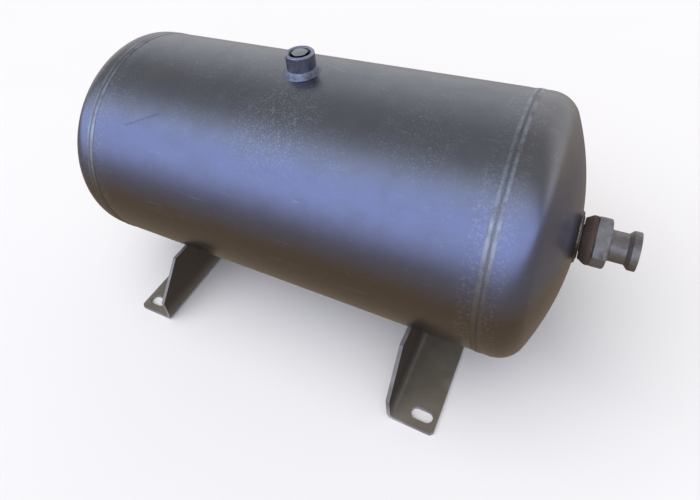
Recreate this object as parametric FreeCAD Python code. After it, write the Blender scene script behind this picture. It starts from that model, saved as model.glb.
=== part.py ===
import FreeCAD, Part
import math
import os

# Horizontal pressure tank: a rolled steel shell with two dished ends, standing on two
# feet bent from plate, with a plugged boss on top and a threaded outlet on one end.
#
# Frame: +X along the tank towards the outlet, +Y across it, +Z up. The origin is on the
# ground under the tank's axis, midway between the feet. Sizes are in millimetres.

# Shell and dished ends
tank_diameter = 250.0           # outside
shell_wall = 4.0
head_wall = 4.0
girth_spacing = 425.0           # between the middles of the two girth welds
head_rim = 9.0                  # straight rim of a dished end, from the weld's middle
knuckle_radius = 28.0           # outside, where the rim turns into the dish
crown_radius = 266.0            # outside, of the dish itself
ground_clearance = 35.0         # under the tank's bottom

# Butt welds of the shell
root_gap = 2.0                  # between the plate edges at the inside
groove_angle = 30.0             # of each bevelled plate edge, from square
bead_width = 10.0
bead_height = 0.6               # proud of the plate
fillet_fullness = 0.55          # of a fillet weld's face at its middle, in legs
seam_angle = 112.0              # lengthwise seam, about the axis from the top towards +Y

# Boss and plug on top
top_thread_bore = 21.0          # for a 1/2 inch pipe thread
top_boss_wall = 3.8             # round the thread
top_boss_height = 20.0          # above the top of the shell
top_boss_chamfer = 1.0
top_weld_leg = 5.0
thread_clearance = 0.1          # of every screwed-in piece in its bore, on radius
plug_length = 14.0
plug_depth = 6.0                # plug body's face below the rim of the boss
plug_head_flats = 15.0
plug_head_rise = 0.5            # plug head above the rim of the boss
plug_head_land = 14.0           # round flat on top of the hexagon
plug_head_bevel = 30.0          # angle of the bevel round that flat, from level

# Boss and outlet fitting on the end
end_thread_bore = 24.5          # for a 3/4 inch pipe thread
end_boss_wall = 7.75            # round the thread
end_boss_length = 20.0
end_boss_reach = 1.5            # past the middle of the dish
end_boss_chamfer = 0.8
end_weld_leg = 4.5
spigot_length = 16.0            # screwed into the end boss
shoulder_gap = 0.8              # between the end boss and the adapter's shoulder
shoulder_back_diameter = 38.0
shoulder_step = 0.5             # shoulder's rim inside the block's corners, on radius
shoulder_cone = 6.0             # length of the shoulder's tapered back
shoulder_length = 10.5
block_flats = 39.5
block_corner_diameter = 46.4    # round left on the wrench block's corners
block_length = 11.5
block_turn = 25.0               # how far the flats are turned about the tank's axis
block_chamfer = 1.4             # length of the turned chamfer on the block's front
block_chamfer_depth = 2.0
nozzle_diameter = 28.0
nozzle_wall = 4.5
nozzle_root_radius = 2.4        # between the neck and its seat on the wrench block
nozzle_neck = 14.1              # from the wrench block to the back of the collar
nozzle_spigot_step = 1.5        # nozzle's stretch inside the block, under its neck
nozzle_spigot_length = 9.0
collar_rise = 3.5               # above the neck, with a back as long as it is high
collar_length = 9.5
collar_front_chamfer = 0.4

# Feet
plate = 4.0
bend_radius = 4.0               # inside
foot_inset = 71.5               # inner side of the web from the girth weld's middle
flange_width = 47.0             # from the web's inner side to the flange's tip
foot_overhang = 27.0            # past each side of the tank
web_end_height = 31.0           # upright end of the web
web_top_rise = 36.0             # web's level top edge above the tank's bottom
web_top_inset = 11.0            # end of that edge inside the tank's side
slot_length = 22.0
slot_width = 12.0
slot_tip_distance = 15.5        # slot's centre from the flange's tip
slot_end_distance = 14.5        # slot's centre from the flange's end
flange_corner = 3.0             # cut off the flange's two outer corners
foot_weld_leg = 3.0

cut_margin = 1.0                # how far a cut runs past the surface that it opens

tank_radius = tank_diameter / 2
axis_height = ground_clearance + tank_radius
shell_inside_radius = tank_radius - shell_wall
girth_x = girth_spacing / 2
groove_half_root = root_gap / 2
shell_groove_half = groove_half_root + shell_wall * math.tan(math.radians(groove_angle))
head_groove_half = groove_half_root + head_wall * math.tan(math.radians(groove_angle))
crown_centre = head_rim - math.sqrt(
    (crown_radius - knuckle_radius) ** 2 - (tank_radius - knuckle_radius) ** 2)
head_depth = crown_centre + crown_radius
shell_top = axis_height + tank_radius
top_boss_diameter = top_thread_bore + 2 * top_boss_wall
end_boss_diameter = end_thread_bore + 2 * end_boss_wall
top_rim = shell_top + top_boss_height
end_boss_face = girth_x + head_depth + end_boss_reach
shoulder_back = end_boss_face + shoulder_gap
block_back = shoulder_back + shoulder_length
block_front = block_back + block_length
collar_back = block_front + nozzle_neck
outlet_face = collar_back + collar_length
outlet_bore = nozzle_diameter - 2 * nozzle_wall
nozzle_spigot_diameter = nozzle_diameter - 2 * nozzle_spigot_step
collar_diameter = nozzle_diameter + 2 * collar_rise
shoulder_diameter = block_corner_diameter - 2 * shoulder_step
web_offset = girth_x - foot_inset
web_top_height = ground_clearance + web_top_rise
foot_length = tank_diameter + 2 * foot_overhang
web_top_length = tank_diameter - 2 * web_top_inset
slot_spacing = foot_length - 2 * slot_end_distance

AXIS = FreeCAD.Vector(0, 0, axis_height)
ALONG = FreeCAD.Vector(1, 0, 0)
ACROSS = FreeCAD.Vector(0, 1, 0)
UP = FreeCAD.Vector(0, 0, 1)


def axial(x, radius):
    """A point of a profile that is turned about the tank's axis."""
    return FreeCAD.Vector(x, 0, axis_height + radius)


def outline(*pieces):
    """A face inside a closed outline: a point starts a line, a pair bends an arc."""
    edges = []
    last = pieces[0]
    for piece in pieces[1:] + (pieces[0],):
        if isinstance(piece, tuple):
            edges.append(Part.Arc(last, piece[0], piece[1]).toShape())
            last = piece[1]
        else:
            edges.append(Part.makeLine(last, piece))
            last = piece
    return Part.Face(Part.Wire(edges))


def turned(*pieces):
    """A solid of revolution about the tank's axis, from its outline."""
    return outline(*pieces).revolve(AXIS, ALONG, 360)


def rod(start, finish, radius):
    """A round bar on the tank's axis."""
    return Part.makeCylinder(radius, finish - start, axial(start, 0), ALONG)


def post(bottom, top, radius):
    """An upright round bar through the middle of the tank's top."""
    return Part.makeCylinder(radius, top - bottom, FreeCAD.Vector(0, 0, bottom), UP)


def mirrored(shape):
    """The same piece at the other end of the tank."""
    return shape.mirror(FreeCAD.Vector(0, 0, 0), ALONG)


def rolled_shell():
    """The closed tube, with its two ends bevelled for the girth welds."""
    inside_x = girth_x - groove_half_root
    outside_x = girth_x - shell_groove_half
    return turned(
        axial(-inside_x, shell_inside_radius), axial(-outside_x, tank_radius),
        axial(outside_x, tank_radius), axial(inside_x, shell_inside_radius))


def arc_point(centre_x, centre_radius, radius, angle):
    """A point on an arc of a head's profile; the angle is from the tank's axis."""
    turn = math.radians(angle)
    return axial(centre_x + radius * math.cos(turn), centre_radius + radius * math.sin(turn))


def head_arcs(wall):
    """Knuckle and crown of a dished end at a depth below its outside, as two arcs."""
    start = girth_x + crown_centre
    knuckle_x = girth_x + head_rim
    knuckle_r = tank_radius - knuckle_radius
    join = math.degrees(math.atan2(knuckle_r, head_rim - crown_centre))
    knuckle = (arc_point(knuckle_x, knuckle_r, knuckle_radius - wall, (90 + join) / 2),
               arc_point(knuckle_x, knuckle_r, knuckle_radius - wall, join))
    crown = (arc_point(start, 0, crown_radius - wall, join / 2),
             arc_point(start, 0, crown_radius - wall, 0))
    return knuckle, crown


def dished_head():
    """A plain dished end at the outlet's side, its rim bevelled for the girth weld."""
    outer_knuckle, outer_crown = head_arcs(0)
    inner_knuckle, inner_crown = head_arcs(head_wall)
    inside_radius = tank_radius - head_wall
    return turned(
        axial(girth_x + groove_half_root, inside_radius),
        axial(girth_x + head_groove_half, tank_radius),
        axial(girth_x + head_rim, tank_radius),
        outer_knuckle, outer_crown,
        inner_crown[1],
        (inner_crown[0], inner_knuckle[1]),
        (inner_knuckle[0], axial(girth_x + head_rim, inside_radius)))


def girth_weld():
    """The butt weld between shell and dished end: groove filling and low crown."""
    half = bead_width / 2
    return turned(
        axial(girth_x - groove_half_root, shell_inside_radius),
        axial(girth_x - shell_groove_half, tank_radius),
        axial(girth_x - half, tank_radius),
        (axial(girth_x, tank_radius + bead_height), axial(girth_x + half, tank_radius)),
        axial(girth_x + head_groove_half, tank_radius),
        axial(girth_x + groove_half_root, tank_radius - head_wall))


def seam_prism(*pieces):
    """A bar along the top of the shell from its end outline, turned to the seam."""
    bar = outline(*pieces).extrude(ALONG * girth_spacing)
    bar.rotate(AXIS, ALONG, -seam_angle)
    return bar


def across(y, height):
    """A point of the seam's outline, drawn at the shell's top."""
    return FreeCAD.Vector(-girth_x, y, axis_height + height)


def seam_groove():
    """What the lengthwise seam takes out of the shell's wall."""
    slope = math.tan(math.radians(groove_angle))
    inside = shell_inside_radius - cut_margin
    outside = tank_radius + cut_margin
    low = groove_half_root - slope * cut_margin
    high = shell_groove_half + slope * cut_margin
    return seam_prism(
        across(-low, inside), across(-high, outside), across(high, outside),
        across(low, inside))


def seam_weld():
    """The lengthwise butt weld, between the two girth welds."""
    half = bead_width / 2
    edge = math.sqrt(tank_radius ** 2 - half ** 2)
    low = edge - cut_margin
    crown = seam_prism(
        across(-half, low), across(-half, edge),
        (across(0, tank_radius + bead_height), across(half, edge)), across(half, low))
    crown = crown.cut(rod(-girth_x, girth_x, tank_radius))
    bead = rolled_shell().common(seam_groove()).fuse(crown)
    return bead.cut(girth_weld()).cut(mirrored(girth_weld())).removeSplitter()


def shell():
    """The rolled shell with its seam groove and the hole for the top boss."""
    hole = post(axis_height, shell_top + cut_margin, top_boss_diameter / 2)
    return rolled_shell().cut(seam_groove()).cut(hole)


def upright_ring(*pieces):
    """A ring turned about the upright axis of the top boss, from its outline."""
    return outline(*pieces).revolve(AXIS, UP, 360)


def top_boss():
    """The threaded boss, from the shell's inside to its chamfered rim."""
    bottom = axis_height + math.sqrt(shell_inside_radius ** 2 - (top_boss_diameter / 2) ** 2)
    outer = top_boss_diameter / 2
    inner = top_thread_bore / 2
    return upright_ring(
        FreeCAD.Vector(inner, 0, bottom), FreeCAD.Vector(outer, 0, bottom),
        FreeCAD.Vector(outer, 0, top_rim - top_boss_chamfer),
        FreeCAD.Vector(outer - top_boss_chamfer, 0, top_rim),
        FreeCAD.Vector(inner + top_boss_chamfer, 0, top_rim),
        FreeCAD.Vector(inner, 0, top_rim - top_boss_chamfer))


def top_boss_weld():
    """The fillet weld round the top boss, lying on the round of the shell."""
    inner = top_boss_diameter / 2
    outer = inner + top_weld_leg
    low = axis_height + math.sqrt(tank_radius ** 2 - (outer + cut_margin) ** 2)
    swell = top_weld_leg * fillet_fullness
    bulge = FreeCAD.Vector(inner + swell, 0, shell_top + swell)
    ring = upright_ring(
        FreeCAD.Vector(inner, 0, low), FreeCAD.Vector(inner, 0, shell_top + top_weld_leg),
        (bulge, FreeCAD.Vector(outer, 0, shell_top)), FreeCAD.Vector(outer, 0, low))
    return ring.cut(rod(-girth_x, girth_x, tank_radius))


def top_plug():
    """The screwed plug: a round body in the bore and a hexagon head up to the rim."""
    body_top = top_rim - plug_depth
    body_radius = top_thread_bore / 2 - thread_clearance
    body = post(body_top - plug_length, body_top, body_radius)
    head_top = top_rim + plug_head_rise
    corner = plug_head_flats / 2 / math.cos(math.pi / 6)
    turns = [math.pi / 3 * step for step in range(6)]
    corners = [FreeCAD.Vector(corner * math.cos(turn), corner * math.sin(turn), body_top)
               for turn in turns]
    head = outline(*corners).extrude(UP * (head_top - body_top))
    head_height = head_top - body_top
    slope = 1 / math.tan(math.radians(plug_head_bevel))
    cone = Part.makeCone(
        plug_head_land / 2 + head_height * slope, plug_head_land / 2, head_height,
        FreeCAD.Vector(0, 0, body_top), UP)
    return body.fuse(head.common(cone)).removeSplitter()


def end_boss():
    """The threaded boss of the outlet, set through the dished end."""
    outer = end_boss_diameter / 2
    inner = end_thread_bore / 2
    inner_face = end_boss_face - end_boss_length
    return turned(
        axial(inner_face, inner), axial(inner_face, outer),
        axial(end_boss_face - end_boss_chamfer, outer),
        axial(end_boss_face, outer - end_boss_chamfer),
        axial(end_boss_face, inner))


def end_boss_weld():
    """The fillet weld round the end boss, lying on the dish."""
    inner = end_boss_diameter / 2
    outer = inner + end_weld_leg
    dish = girth_x + crown_centre
    toe = dish + math.sqrt(crown_radius ** 2 - outer ** 2)
    top = end_boss_face - end_boss_chamfer
    low = toe - cut_margin
    bulge = axial(toe + (top - toe) * fillet_fullness, inner + end_weld_leg * fillet_fullness)
    ring = turned(
        axial(low, inner), axial(top, inner), (bulge, axial(toe, outer)),
        axial(low, outer))
    return ring.cut(Part.makeSphere(crown_radius, axial(dish, 0)))


def right_head():
    """The dished end with the hole for the outlet boss."""
    hole = rod(girth_x, end_boss_face, end_boss_diameter / 2)
    return dished_head().cut(hole)


def wrench_block():
    """The adapter's square part: flats on round stock, with a turned front chamfer."""
    half = block_flats / 2
    corner = block_corner_diameter / 2
    square = Part.makeBox(
        block_length, block_flats, block_flats,
        FreeCAD.Vector(block_back, -half, axis_height - half))
    stock = turned(
        axial(block_back, 0), axial(block_back, corner),
        axial(block_front - block_chamfer, corner),
        axial(block_front, corner - block_chamfer_depth), axial(block_front, 0))
    block = square.common(stock)
    block.rotate(AXIS, ALONG, block_turn)
    return block


def outlet_adapter():
    """The screwed adapter: spigot in the end boss, round shoulder and wrench block."""
    spigot_end = end_boss_face - spigot_length
    spigot = rod(spigot_end, shoulder_back, end_thread_bore / 2 - thread_clearance)
    shoulder = turned(
        axial(shoulder_back, 0), axial(shoulder_back, shoulder_back_diameter / 2),
        axial(shoulder_back + shoulder_cone, shoulder_diameter / 2),
        axial(block_back, shoulder_diameter / 2), axial(block_back, 0))
    seat = rod(block_front - nozzle_spigot_length, block_front, nozzle_spigot_diameter / 2)
    bore = rod(spigot_end, block_front, outlet_bore / 2)
    solid = spigot.fuse(shoulder).fuse(wrench_block()).removeSplitter()
    return solid.cut(seat).cut(bore)


def outlet_nozzle():
    """The turned nozzle: a spigot in the wrench block, a plain neck and its collar."""
    inner = outlet_bore / 2
    seat_radius = nozzle_spigot_diameter / 2 - thread_clearance
    neck = nozzle_diameter / 2
    root = nozzle_root_radius
    root_middle = root * (1 - math.sqrt(0.5))
    collar = collar_diameter / 2
    return turned(
        axial(block_front - nozzle_spigot_length, inner),
        axial(block_front - nozzle_spigot_length, seat_radius),
        axial(block_front, seat_radius), axial(block_front, neck + root),
        (axial(block_front + root_middle, neck + root_middle),
         axial(block_front + root, neck)),
        axial(collar_back, neck), axial(collar_back + collar_rise, collar),
        axial(outlet_face - collar_front_chamfer, collar),
        axial(outlet_face, collar - collar_front_chamfer),
        axial(outlet_face, inner))


def bent_plate():
    """The foot's angle section, along the whole foot."""
    outer_bend = plate + bend_radius
    near = web_offset
    tip = web_offset + flange_width
    diagonal = math.sqrt(0.5)

    def at(x, z):
        return FreeCAD.Vector(x, -foot_length / 2, z)

    section = outline(
        at(tip, 0), at(near + outer_bend, 0),
        (at(near + outer_bend * (1 - diagonal), outer_bend * (1 - diagonal)),
         at(near, outer_bend)),
        at(near, web_top_height), at(near + plate, web_top_height),
        at(near + plate, outer_bend),
        (at(near + outer_bend - bend_radius * diagonal, outer_bend - bend_radius * diagonal),
         at(near + outer_bend, plate)),
        at(tip, plate))
    return section.extrude(ACROSS * foot_length)


def slot(y):
    """A bolt slot through the flange, its long way along the tank."""
    middle = web_offset + flange_width - slot_tip_distance
    straight = slot_length - slot_width
    drill = Part.makeBox(
        straight, slot_width, 2 * plate,
        FreeCAD.Vector(middle - straight / 2, y - slot_width / 2, -plate / 2))
    for side in (-1, 1):
        end = FreeCAD.Vector(middle + side * straight / 2, y, -plate / 2)
        drill = drill.fuse(Part.makeCylinder(slot_width / 2, 2 * plate, end, UP))
    return drill


def clipped_corner(side):
    """What is cut off one outer corner of the flange."""
    tip = web_offset + flange_width
    end = side * foot_length / 2
    corner = FreeCAD.Vector(tip + cut_margin, end + side * cut_margin, -plate / 2)
    reach = flange_corner + 2 * cut_margin
    wedge = outline(
        corner, corner + ALONG * -reach, corner + ACROSS * (-side * reach))
    return wedge.extrude(UP * 2 * plate)


def right_foot():
    """A foot: trimmed web with its saddle cut to the shell, and a slotted flange."""
    half = foot_length / 2
    top_half = web_top_length / 2
    corners = [(-half, 0), (half, 0), (half, web_end_height), (top_half, web_top_height),
               (-top_half, web_top_height), (-half, web_end_height)]
    shape = outline(*[FreeCAD.Vector(web_offset, y, z) for y, z in corners])
    foot = bent_plate().common(shape.extrude(ALONG * flange_width))
    foot = foot.cut(rod(0, girth_x, tank_radius))
    for side in (-1, 1):
        foot = foot.cut(slot(side * slot_spacing / 2)).cut(clipped_corner(side))
    return foot


def foot_weld(web_face, side):
    """The fillet weld between web and shell, on the side of the web that side names."""
    spread = math.degrees(math.acos((axis_height - web_top_height) / tank_radius))
    swell = foot_weld_leg * fillet_fullness
    bead = outline(
        axial(web_face, tank_radius), axial(web_face, tank_radius + foot_weld_leg),
        (axial(web_face + side * swell, tank_radius + swell),
         axial(web_face + side * foot_weld_leg, tank_radius)))
    bead.rotate(AXIS, ALONG, 180 - spread)
    return bead.revolve(AXIS, ALONG, 2 * spread)


os.makedirs("parts", exist_ok=True)
parts = {
    "shell": shell(),
    "left_head": mirrored(dished_head()),
    "right_head": right_head(),
    "left_girth_weld": mirrored(girth_weld()),
    "right_girth_weld": girth_weld(),
    "lengthwise_seam_weld": seam_weld(),
    "top_boss": top_boss(),
    "top_boss_weld": top_boss_weld(),
    "top_plug": top_plug(),
    "end_boss": end_boss(),
    "end_boss_weld": end_boss_weld(),
    "outlet_adapter": outlet_adapter(),
    "outlet_nozzle": outlet_nozzle(),
    "right_foot": right_foot(),
    "left_foot": mirrored(right_foot()),
}
for name, web_face, side in (("inner", web_offset, -1), ("outer", web_offset + plate, 1)):
    weld = foot_weld(web_face, side)
    parts["right_foot_" + name + "_weld"] = weld
    parts["left_foot_" + name + "_weld"] = mirrored(weld)

for node, solid in parts.items():
    if solid.ShapeType != "Solid" and len(solid.Solids) == 1:
        solid = solid.Solids[0]
    print(node, solid.ShapeType, solid.isValid(), round(solid.Volume), len(solid.Faces))
    solid.exportStep("parts/" + node + ".step")
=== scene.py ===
import math

import bmesh
import bpy
import numpy as np
from mathutils import Matrix, Vector


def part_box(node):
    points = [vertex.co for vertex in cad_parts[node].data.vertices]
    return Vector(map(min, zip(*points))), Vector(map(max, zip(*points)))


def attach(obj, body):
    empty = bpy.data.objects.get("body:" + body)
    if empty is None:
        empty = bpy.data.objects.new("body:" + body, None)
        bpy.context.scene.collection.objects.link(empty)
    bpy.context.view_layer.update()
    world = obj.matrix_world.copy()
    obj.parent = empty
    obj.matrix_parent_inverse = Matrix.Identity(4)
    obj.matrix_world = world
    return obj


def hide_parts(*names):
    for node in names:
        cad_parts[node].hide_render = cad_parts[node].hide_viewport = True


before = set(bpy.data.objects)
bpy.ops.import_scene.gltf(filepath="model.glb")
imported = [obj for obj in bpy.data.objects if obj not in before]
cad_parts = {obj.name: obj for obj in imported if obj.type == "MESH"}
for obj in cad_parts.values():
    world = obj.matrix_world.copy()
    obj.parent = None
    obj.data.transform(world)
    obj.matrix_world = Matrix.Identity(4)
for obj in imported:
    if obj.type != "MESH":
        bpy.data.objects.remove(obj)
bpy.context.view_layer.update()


# --- Shell ---------------------------------------------------------------------------
# The tank's tube is one sheet of mild steel, rolled and butt welded along its back. It is
# bare and satin, with fine scuffs, a painted reflection of a bluish band on its sides and of
# a brown floor below, and a slight waist at each end where the girth welds have shrunk. The
# heads, bosses and feet are welded to it.

shell_low, shell_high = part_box("shell")
tank_axis = round((shell_low.z + shell_high.z) / 2, 5)
tank_radius = round((shell_high.z - shell_low.z) / 2, 5)
shell_wall = 0.004
shell_inside_end = shell_high.x
weld_groove = 0.0023
shell_outside_end = shell_high.x - weld_groove
girth_low, girth_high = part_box("right_girth_weld")
girth_x = round((girth_low.x + girth_high.x) / 2, 5)
shell_segments = 192
shell_middle = 0.19
waist_centre = girth_x - 0.004
waist_depth = 0.0003
waist_reach = 0.0065
shell_waviness = 0.00022
boss_hole_radius = 0.0143

bare_steel = (0.27, 0.285, 0.325, 1)
flank_reflection_violet = (0.235, 0.26, 0.40, 1)
floor_reflection_brown = (0.22, 0.185, 0.155, 1)
pale_scuff = (0.50, 0.53, 0.59, 1)


class Wire:
    """A node's output, so that sums on it are written as ordinary maths."""

    def __init__(self, bench, socket):
        self.bench = bench
        self.socket = socket

    def __add__(self, other):
        return self.bench.sum("ADD", self, other)

    def __radd__(self, other):
        return self.bench.sum("ADD", other, self)

    def __sub__(self, other):
        return self.bench.sum("SUBTRACT", self, other)

    def __rsub__(self, other):
        return self.bench.sum("SUBTRACT", other, self)

    def __mul__(self, other):
        return self.bench.sum("MULTIPLY", self, other)

    def __rmul__(self, other):
        return self.bench.sum("MULTIPLY", other, self)

    def __truediv__(self, other):
        return self.bench.sum("DIVIDE", self, other)

    def __abs__(self):
        return self.bench.sum("ABSOLUTE", self)


class Bench:
    """Where one node tree is put together: a finish, the studio or a shaping rule."""

    def __init__(self, tree):
        self.tree = tree

    def add(self, kind, settings=None, sockets=None, out=0):
        """One node: its settings first, then its sockets' values or wires."""
        made = self.tree.nodes.new(kind)
        for name, value in (settings or {}).items():
            if name == "stops":
                ramp = made.color_ramp
                for _ in value[2:]:
                    ramp.elements.new(0.5)
                for element, (place, colour) in zip(ramp.elements, value):
                    element.position = place
                    element.color = (*colour, 1)
            else:
                setattr(made, name, value)
        for name, value in (sockets or {}).items():
            socket = self.pick(made.inputs, name)
            if isinstance(value, Wire):
                self.tree.links.new(value.socket, socket)
            else:
                socket.default_value = value
        return Wire(self, self.pick(made.outputs, out)) if len(made.outputs) else made

    def pick(self, sockets, name):
        """The socket with that number, or the one in use with that name."""
        if isinstance(name, int):
            return sockets[name]
        return next(s for s in sockets if s.name == name and s.enabled)

    def sum(self, operation, *values):
        return self.add("ShaderNodeMath", {"operation": operation}, dict(enumerate(values)))

    def vector(self, operation, *values, out=0):
        settings = {"operation": operation}
        return self.add("ShaderNodeVectorMath", settings, dict(enumerate(values)), out)

    def parts(self, vector):
        """The three numbers of a vector, each on a wire."""
        split = self.add("ShaderNodeSeparateXYZ", {}, {0: vector})
        return [Wire(self, s) for s in split.socket.node.outputs]

    def joined(self, x, y, z):
        return self.add("ShaderNodeCombineXYZ", {}, {0: x, 1: y, 2: z})

    def fade(self, value, low, high):
        """0 below low, 1 above high and a soft step between; low may be the larger."""
        settings = {"interpolation_type": "SMOOTHSTEP", "clamp": True}
        sockets = {"Value": value, "From Min": low, "From Max": high}
        return self.add("ShaderNodeMapRange", settings, sockets, "Result")

    def mixed(self, share, first, second):
        """A colour on its way from the first to the second."""
        sockets = {"Factor": share, "A": first, "B": second}
        return self.add("ShaderNodeMix", {"data_type": "RGBA"}, sockets, "Result")

    def cloud(self, place, scale, detail=3.0, roughness=0.55, distortion=0.0):
        """Soft random grain, from 0 to 1, about 1 / scale metres across."""
        sockets = {"Vector": place, "Scale": scale, "Detail": detail,
                   "Roughness": roughness, "Distortion": distortion}
        return self.add("ShaderNodeTexNoise", {}, sockets, "Fac")

    def stretched(self, place, scales, turn=(0, 0, 0)):
        """Coordinates on which a grain runs longer one way than the other."""
        settings = {"vector_type": "POINT"}
        sockets = {"Vector": place, "Rotation": turn, "Scale": scales}
        return self.add("ShaderNodeMapping", settings, sockets)


def finish_bench(name):
    """An empty finish, with its bench and the wire of the piece's own coordinates."""
    finish = bpy.data.materials.new(name)
    finish.use_nodes = True
    finish.node_tree.nodes.clear()
    bench = Bench(finish.node_tree)
    return finish, bench, bench.add("ShaderNodeTexCoord", {}, {}, "Object")


def coat(bench, colour, roughness, metal, bump=None, bump_depth=0.0001):
    """Ends a finish in one metal surface."""
    sockets = {"Base Color": colour, "Roughness": roughness, "Metallic": metal}
    if bump is not None:
        depth = {"Height": bump, "Strength": 1.0, "Distance": bump_depth}
        sockets["Normal"] = bench.add("ShaderNodeBump", {}, depth)
    surface = bench.add("ShaderNodeBsdfPrincipled", {}, sockets)
    bench.add("ShaderNodeOutputMaterial", {}, {"Surface": surface})


def scratches(bench, place, scales, turn, thinness):
    """Long thin lines: where a stretched grain passes through its middle value."""
    grain = bench.cloud(bench.stretched(place, scales, turn=turn), 1.0, 1.0, 0.4)
    return bench.fade(abs(grain - 0.5), thinness, 0.0)


def streak(bench, place, start, end, width):
    """1 along a straight mark from start to end and 0 away from it."""
    way = Vector(end) - Vector(start)
    from_start = bench.vector("SUBTRACT", place, start)
    share = bench.vector("DOT_PRODUCT", from_start, tuple(way), out="Value") / way.length_squared
    share = bench.sum("MINIMUM", bench.sum("MAXIMUM", share, 0.0), 1.0)
    nearest = bench.vector("MULTIPLY", bench.joined(share, share, share), tuple(way))
    off = bench.vector("DISTANCE", from_start, nearest, out="Value")
    return bench.fade(off, width, width * 0.3)


def satin_steel(name, tint, scuffing, scale_line=None):
    """Bare rolled steel: painted reflections, violet on its flanks and brown below, with pale
    speckles, dabs and wipes.
    """
    finish, bench, place = finish_bench(name)
    x, _, z = bench.parts(place)
    level = (z - tank_axis) / tank_radius
    drift = bench.cloud(place, 9.0, 2.0)
    level = level + (drift - 0.5) * 0.12
    # Painted reflection: below the top the steel turns violet, as a bluish band of the room would
    # show on its flanks.
    colour = bench.mixed(bench.fade(level, 0.86, 0.62), tint, flank_reflection_violet)
    # Painted reflection: below the axis the steel turns brown, as a brown floor would show in it.
    colour = bench.mixed(bench.fade(level, 0.30, 0.02), colour, floor_reflection_brown)
    mottle = bench.cloud(place, 45.0, 5.0, 0.6)
    colour = bench.mixed(bench.fade(mottle, 0.35, 0.75) * 0.22, colour, (0.16, 0.165, 0.19, 1))

    area = bench.fade(bench.cloud(place, 16.0, 2.0), 0.40, 0.56) * bench.fade(level, 0.60, 0.88)
    fine = bench.cloud(place, 640.0, 2.0, 0.6)
    middle_patch = bench.vector("DISTANCE", place, (0.005, -0.060, 0.2697), out="Value")
    area = bench.sum("MAXIMUM", area * 0.55, bench.fade(middle_patch, 0.070, 0.020))
    specks = bench.fade(fine + area * 0.04, 0.57, 0.66) * (0.10 + 0.90 * area)
    dabs = bench.fade(bench.cloud(place, 170.0, 3.0, 0.7, 0.6), 0.60, 0.66) * area
    wiped = bench.cloud(bench.stretched(place, (30.0, 110.0, 110.0), turn=(0.3, 0.5, 0.2)), 1.0,
                        4.0, 0.7)
    wipes = bench.fade(wiped, 0.60, 0.70) * bench.fade(fine, 0.40, 0.60)
    lines = scratches(bench, place, (9.0, 75.0, 75.0), (0.0, 0.35, 0.6), 0.004)
    lines = lines * bench.fade(bench.cloud(place, 19.0), 0.58, 0.66)
    marks = specks * 0.62 + dabs * 0.45 + wipes * 0.25 + lines * 0.5
    if scale_line is not None:
        near = bench.fade(abs(abs(x) - scale_line), 0.011, 0.004)
        marks = marks + near * bench.fade(bench.cloud(place, 420.0, 3.0, 0.7), 0.50, 0.66) * 0.38
    long_scratch = streak(bench, place, (0.009, 0.0256, 0.2823), (0.041, 0.0107, 0.2845), 0.0007)
    marks = marks + long_scratch * bench.fade(fine, 0.30, 0.55)
    marks = bench.sum("MINIMUM", marks, 1.0) * scuffing
    wipe = streak(bench, place, (-0.165, -0.0927, 0.2439), (-0.126, -0.0786, 0.2572), 0.0016)
    colour = bench.mixed(wipe * 0.28, colour, (0.06, 0.06, 0.08, 1))
    colour = bench.mixed(marks, colour, pale_scuff)
    roughness = 0.25 + 0.07 * mottle + 0.20 * marks
    grain = bench.cloud(place, 900.0, 2.0)
    coat(bench, colour, roughness, 1.0, grain * 0.5 + marks * 0.5, 0.00003)
    return finish


def turned_wall_rule():
    """Turns a profile of points (along, 0, from the axis) round the tank's axis."""
    tree = bpy.data.node_groups.new("turned_wall", "GeometryNodeTree")
    told = shaping_inputs(tree, (
        ("Axis Height", "NodeSocketFloat"), ("Segments", "NodeSocketInt"),
        ("Closed Profile", "NodeSocketInt"), ("Waviness", "NodeSocketFloat"),
        ("Seed", "NodeSocketInt"), ("Finish", "NodeSocketMaterial")))
    bench = told["bench"]
    points = bench.add("GeometryNodeAttributeDomainSize", {"component": "MESH"},
                       {"Geometry": told["Geometry"]}, "Point Count")
    rows = points + told["Closed Profile"] - 1
    grid = bench.add("GeometryNodeMeshGrid", {}, {
        "Size X": 1.0, "Size Y": 1.0, "Vertices X": rows + 1,
        "Vertices Y": told["Segments"] + 1}, "Mesh")
    across, around, _ = bench.parts(bench.add("GeometryNodeInputPosition"))
    row = bench.sum("MODULO", bench.sum("ROUND", (across + 0.5) * rows), points)
    spot = bench.add("GeometryNodeSampleIndex", {"data_type": "FLOAT_VECTOR"}, {
        "Geometry": told["Geometry"], "Value": bench.add("GeometryNodeInputPosition"),
        "Index": row}, "Value")
    along, _, reach = bench.parts(spot)
    turn = (around + 0.5) * math.tau
    sine = bench.sum("SINE", turn)
    cosine = bench.sum("COSINE", turn)
    wander = bench.joined(along * 9.0 + told["Seed"] * 7.3, sine * 1.1, cosine * 1.1)
    wave = bench.cloud(wander, 1.0, 1.0) - 0.5
    reach = reach * (1.0 + wave * told["Waviness"] / tank_radius)
    placed = bench.add("GeometryNodeSetPosition", {}, {
        "Geometry": grid,
        "Position": bench.joined(along, sine * reach, cosine * reach + told["Axis Height"])})
    closed = bench.add("GeometryNodeMergeByDistance", {}, {
        "Geometry": placed, "Distance": 0.000002})
    shaping_end(bench, told, closed)
    return tree


def shaping_inputs(tree, named):
    """Opens a shaping rule: its named inputs as wires, and its bench."""
    tree.interface.new_socket("Geometry", in_out="INPUT", socket_type="NodeSocketGeometry")
    for name, kind in named:
        tree.interface.new_socket(name, in_out="INPUT", socket_type=kind)
    tree.interface.new_socket("Geometry", in_out="OUTPUT", socket_type="NodeSocketGeometry")
    bench = Bench(tree)
    given = tree.nodes.new("NodeGroupInput")
    told = {s.name: Wire(bench, s) for s in given.outputs if s.name}
    told["bench"] = bench
    return told


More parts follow.
